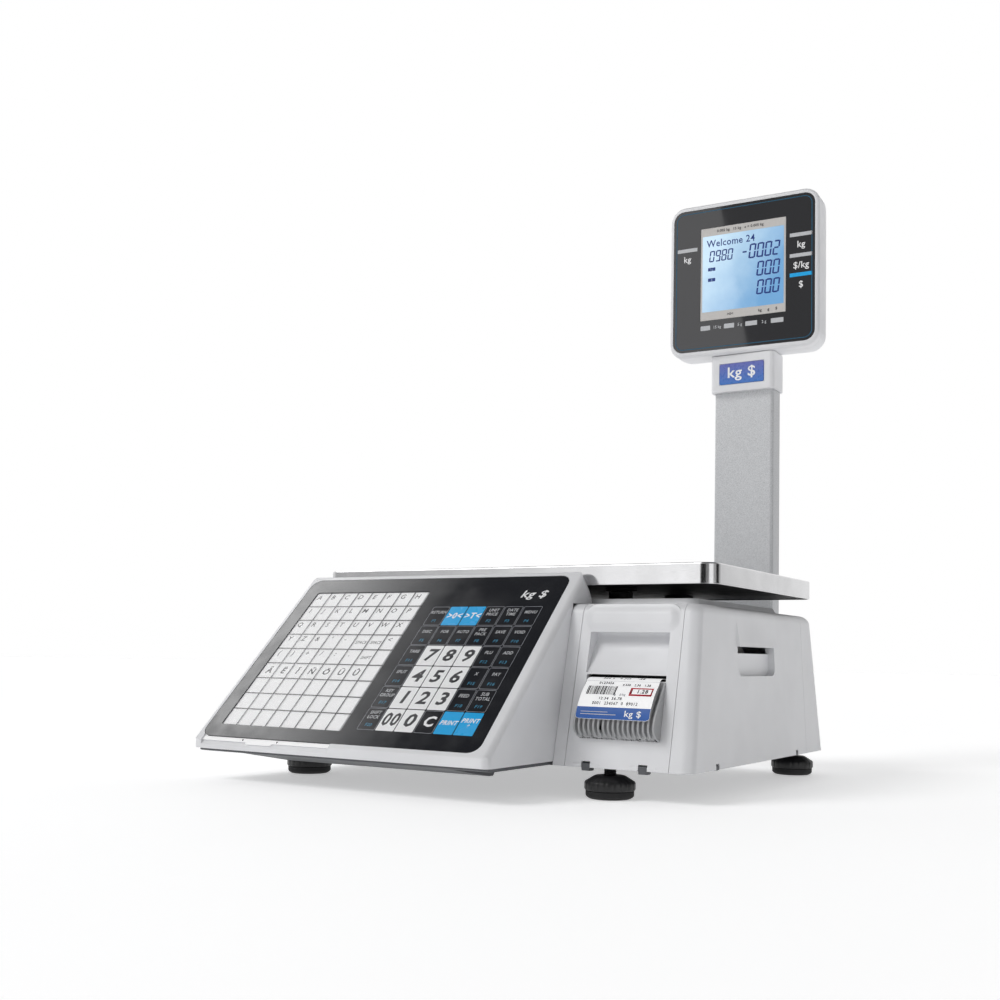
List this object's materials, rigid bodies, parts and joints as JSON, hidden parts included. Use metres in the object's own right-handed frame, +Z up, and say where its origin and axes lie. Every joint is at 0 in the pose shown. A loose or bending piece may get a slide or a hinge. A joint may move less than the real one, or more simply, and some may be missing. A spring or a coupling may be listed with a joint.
{
  "type": "retail price scale",
  "caption": "Counter price scale with a slanted key console, steel weighing platter, front label printer behind two hinged doors, and a two-sided display on a rear pole.",
  "frame": {"origin": "on the table under the middle of the object's plan", "axes": "+X to the operator's right, +Y away from the operator towards the pole, +Z up"},
  "size_m": [0.41, 0.468, 0.586],
  "materials": {
    "shell": "fine satin moulded texture, light warm grey",
    "underside": "dark grey moulded plastic",
    "overlay": "glossy printed key panel, charcoal with white, blue and outlined keys",
    "paper": "white label paper",
    "membrane": "thin switch membrane",
    "board": "green circuit board",
    "steel": "brushed stainless steel, polished rim",
    "zinc": "zinc-plated and die-cast metal",
    "aluminium": "machined aluminium",
    "black_plastic": "black moulded plastic",
    "foot_wheel": "black moulded foot with a black steel stud",
    "rubber": "black rubber",
    "pole": "metallic grey speckled paint on aluminium",
    "screen": "dark glossy window",
    "lcd": "blue backlit liquid crystal display",
    "badge": "plain blue plate",
    "comb": "mid-grey moulded ribs",
    "lever": "green release lever",
    "nylon": "natural nylon",
    "brass": "brass",
    "vial": "spirit level vial"
  },
  "bodies": {
    "base": {"console_housing": "shell", "top_cover": "shell", "rear_cover": "shell", "pole_bracket": "shell", "head_collar": "shell", "base_pan": "underside", "console_bottom": "underside", "keypad_overlay": "overlay", "key_membrane": "membrane", "keypad_board": "board", "main_board": "board", "chassis_plate": "zinc", "cell_block": "zinc", "tray_spider": "zinc", "printer_chassis": "zinc", "port_panel": "zinc", "power_supply": "zinc", "stepper_motor": "zinc", "load_cell": "aluminium", "power_inlet": "black_plastic", "roll_spindle": "black_plastic", "roll_guide": "black_plastic", "tray_cup_1": "rubber", "tray_cup_2": "rubber", "tray_cup_3": "rubber", "tray_cup_4": "rubber", "pole_tube": "pole", "collar_badge": "badge", "spirit_level": "vial"},
    "tray": {"platter": "steel", "sub_tray": "black_plastic"},
    "key_page": {"key_sheet": "paper"},
    "side_flap": {"side_door": "shell"},
    "printer_flap": {"printer_door": "shell", "peel_comb": "comb", "issued_label": "paper"},
    "release_lever": {"head_lever": "lever"},
    "thermal_head": {"print_head": "aluminium"},
    "platen": {"platen_roller": "rubber", "platen_gear": "nylon"},
    "idler": {"idler_gear": "nylon"},
    "pinion": {"motor_pinion": "brass"},
    "roll": {"label_roll": "paper"},
    "rewinder": {"rewind_spool": "black_plastic"},
    "rocker": {"power_rocker": "black_plastic"},
    "display_head": {"head_front_shell": "shell", "head_rear_shell": "shell", "display_window": "screen", "display_lcd": "lcd", "customer_window": "screen", "customer_lcd": "lcd", "display_board": "board"},
    "foot_front_left": {"foot_sole_front_left": "rubber"},
    "wheel_front_left": {"foot_wheel_front_left": "foot_wheel"},
    "foot_front_right": {"foot_sole_front_right": "rubber"},
    "wheel_front_right": {"foot_wheel_front_right": "foot_wheel"},
    "foot_rear_left": {"foot_sole_rear_left": "rubber"},
    "wheel_rear_left": {"foot_wheel_rear_left": "foot_wheel"},
    "foot_rear_right": {"foot_sole_rear_right": "rubber"},
    "wheel_rear_right": {"foot_wheel_rear_right": "foot_wheel"}
  },
  "joints": [
    {"name": "tray_lift", "type": "slide", "parent": "base", "child": "tray", "axis": [0, 0, 1], "range_m": [0, 0.06]},
    {"name": "key_sheet_slide", "type": "slide", "parent": "base", "child": "key_page", "axis": [0, -0.702, -0.7122], "range_m": [0, 0.03]},
    {"name": "side_door_hinge", "type": "hinge", "parent": "base", "child": "side_flap", "pos_m": [0.2032, 0, 0.0251], "axis": [0, 1, 0], "range_deg": [0, 85]},
    {"name": "printer_door_hinge", "type": "hinge", "parent": "base", "child": "printer_flap", "pos_m": [0, -0.14, 0.0251], "axis": [1, 0, 0], "range_deg": [0, 60]},
    {"name": "release_lever_pivot", "type": "hinge", "parent": "base", "child": "release_lever", "pos_m": [0.186, -0.09, 0.118], "axis": [-1, 0, 0], "range_deg": [0, 55]},
    {"name": "thermal_head_pivot", "type": "hinge", "parent": "base", "child": "thermal_head", "pos_m": [0.14, -0.072, 0.112], "axis": [-1, 0, 0], "range_deg": [0, 8]},
    {"name": "platen_spin", "type": "hinge", "parent": "base", "child": "platen", "pos_m": [0.14, -0.106, 0.086], "axis": [1, 0, 0], "continuous": true},
    {"name": "idler_spin", "type": "hinge", "parent": "base", "child": "idler", "pos_m": [0.098, -0.08993, 0.06685], "axis": [1, 0, 0], "continuous": true},
    {"name": "pinion_spin", "type": "hinge", "parent": "base", "child": "pinion", "pos_m": [0.098, -0.08275, 0.04712], "axis": [1, 0, 0], "continuous": true},
    {"name": "roll_spin", "type": "hinge", "parent": "base", "child": "roll", "pos_m": [0.138, 0.03, 0.078], "axis": [1, 0, 0], "continuous": true},
    {"name": "rewinder_spin", "type": "hinge", "parent": "base", "child": "rewinder", "pos_m": [0.14, -0.042, 0.112], "axis": [1, 0, 0], "continuous": true},
    {"name": "power_rocker_pivot", "type": "hinge", "parent": "base", "child": "rocker", "pos_m": [-0.116, 0.1736, 0.056], "axis": [-1, 0, 0], "range_deg": [0, 16]},
    {"name": "display_head_swivel", "type": "hinge", "parent": "base", "child": "display_head", "pos_m": [0.1136, 0.20615, 0.43], "axis": [0, 0, 1], "range_deg": [-15, 15]},
    {"name": "foot_front_left_height", "type": "slide", "parent": "base", "child": "foot_front_left", "axis": [0, 0, -1], "range_m": [-0.00187, 0.0097]},
    {"name": "foot_front_left_turn", "type": "hinge", "parent": "foot_front_left", "child": "wheel_front_left", "pos_m": [-0.1686, -0.1296, 0.012], "axis": [0, 0, -1], "range_deg": [-450, 2340]},
    {"name": "foot_front_right_height", "type": "slide", "parent": "base", "child": "foot_front_right", "axis": [0, 0, -1], "range_m": [-0.00187, 0.0097]},
    {"name": "foot_front_right_turn", "type": "hinge", "parent": "foot_front_right", "child": "wheel_front_right", "pos_m": [0.1322, -0.1296, 0.012], "axis": [0, 0, -1], "range_deg": [-450, 2340]},
    {"name": "foot_rear_left_height", "type": "slide", "parent": "base", "child": "foot_rear_left", "axis": [0, 0, -1], "range_m": [-0.00187, 0.0097]},
    {"name": "foot_rear_left_turn", "type": "hinge", "parent": "foot_rear_left", "child": "wheel_rear_left", "pos_m": [-0.1792, 0.158, 0.012], "axis": [0, 0, -1], "range_deg": [-450, 2340]},
    {"name": "foot_rear_right_height", "type": "slide", "parent": "base", "child": "foot_rear_right", "axis": [0, 0, -1], "range_m": [-0.00187, 0.0097]},
    {"name": "foot_rear_right_turn", "type": "hinge", "parent": "foot_rear_right", "child": "wheel_rear_right", "pos_m": [0.1792, 0.158, 0.012], "axis": [0, 0, -1], "range_deg": [-450, 2340]}
  ],
  "couplings": [
    {"joint": "release_lever_pivot", "follows": "thermal_head_pivot", "ratio": 6.875},
    {"joint": "platen_spin", "follows": "roll_spin", "ratio": 5.75},
    {"joint": "idler_spin", "follows": "roll_spin", "ratio": -3.8333},
    {"joint": "pinion_spin", "follows": "roll_spin", "ratio": 9.5833},
    {"joint": "rewinder_spin", "follows": "roll_spin", "ratio": 3.5385},
    {"joint": "foot_front_left_turn", "follows": "foot_front_left_height", "rad_per_m": 4188.8},
    {"joint": "foot_front_right_turn", "follows": "foot_front_right_height", "rad_per_m": 4188.8},
    {"joint": "foot_rear_left_turn", "follows": "foot_rear_left_height", "rad_per_m": 4188.8},
    {"joint": "foot_rear_right_turn", "follows": "foot_rear_right_height", "rad_per_m": 4188.8}
  ]
}
